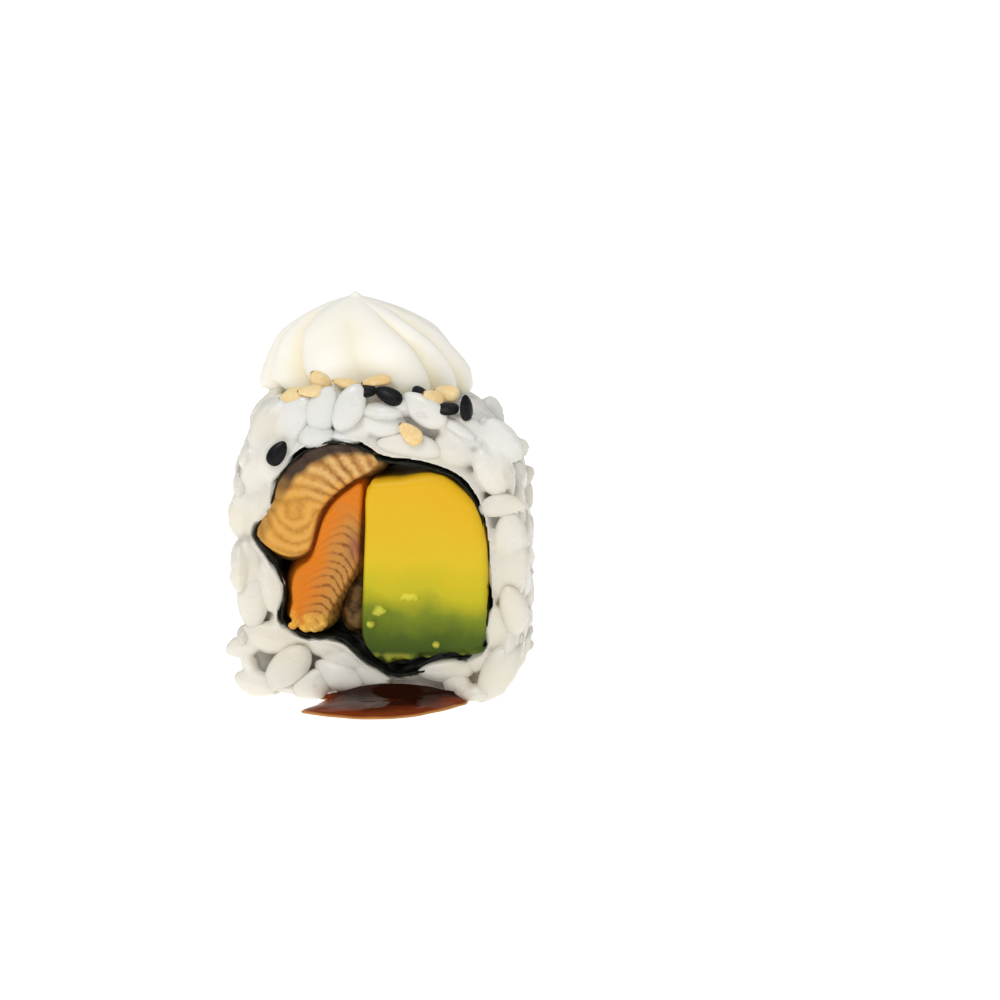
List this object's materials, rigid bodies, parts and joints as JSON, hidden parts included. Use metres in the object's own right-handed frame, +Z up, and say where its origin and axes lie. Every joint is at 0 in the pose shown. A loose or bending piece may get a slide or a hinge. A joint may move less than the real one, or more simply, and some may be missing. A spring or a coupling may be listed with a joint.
{
  "type": "uramaki roll",
  "caption": "Slice of inside-out sushi roll standing on its rice: rice ring round nori, grilled eel and avocado, with piped cream cheese on top and a little eel sauce at its foot.",
  "frame": {"origin": "middle of the roll's flat underside, where it rests", "axes": "+Z up, -Y out of the front cut face, +X to the right as the front cut face is looked at"},
  "size_m": [0.038, 0.0367, 0.0504],
  "materials": {
    "rice": "cooked short-grain rice, moist, slightly translucent",
    "nori": "moist seaweed sheet, satin",
    "eel": "grilled and glazed eel flesh with a grey skin edge",
    "avocado": "ripe avocado, yellow running to green, smooth and moist",
    "fish_scrap": "dark moist fish",
    "cream": "piped cream cheese, smooth satin",
    "sauce": "thick glossy eel sauce",
    "sesame_gold": "toasted white sesame",
    "sesame_black": "black sesame"
  },
  "bodies": {
    "root": {"rice": "rice", "nori": "nori", "eel_upper": "eel", "eel_lower": "eel", "avocado": "avocado", "fish_scrap": "fish_scrap", "cream": "cream", "sauce": "sauce"}
  },
  "joints": []
}
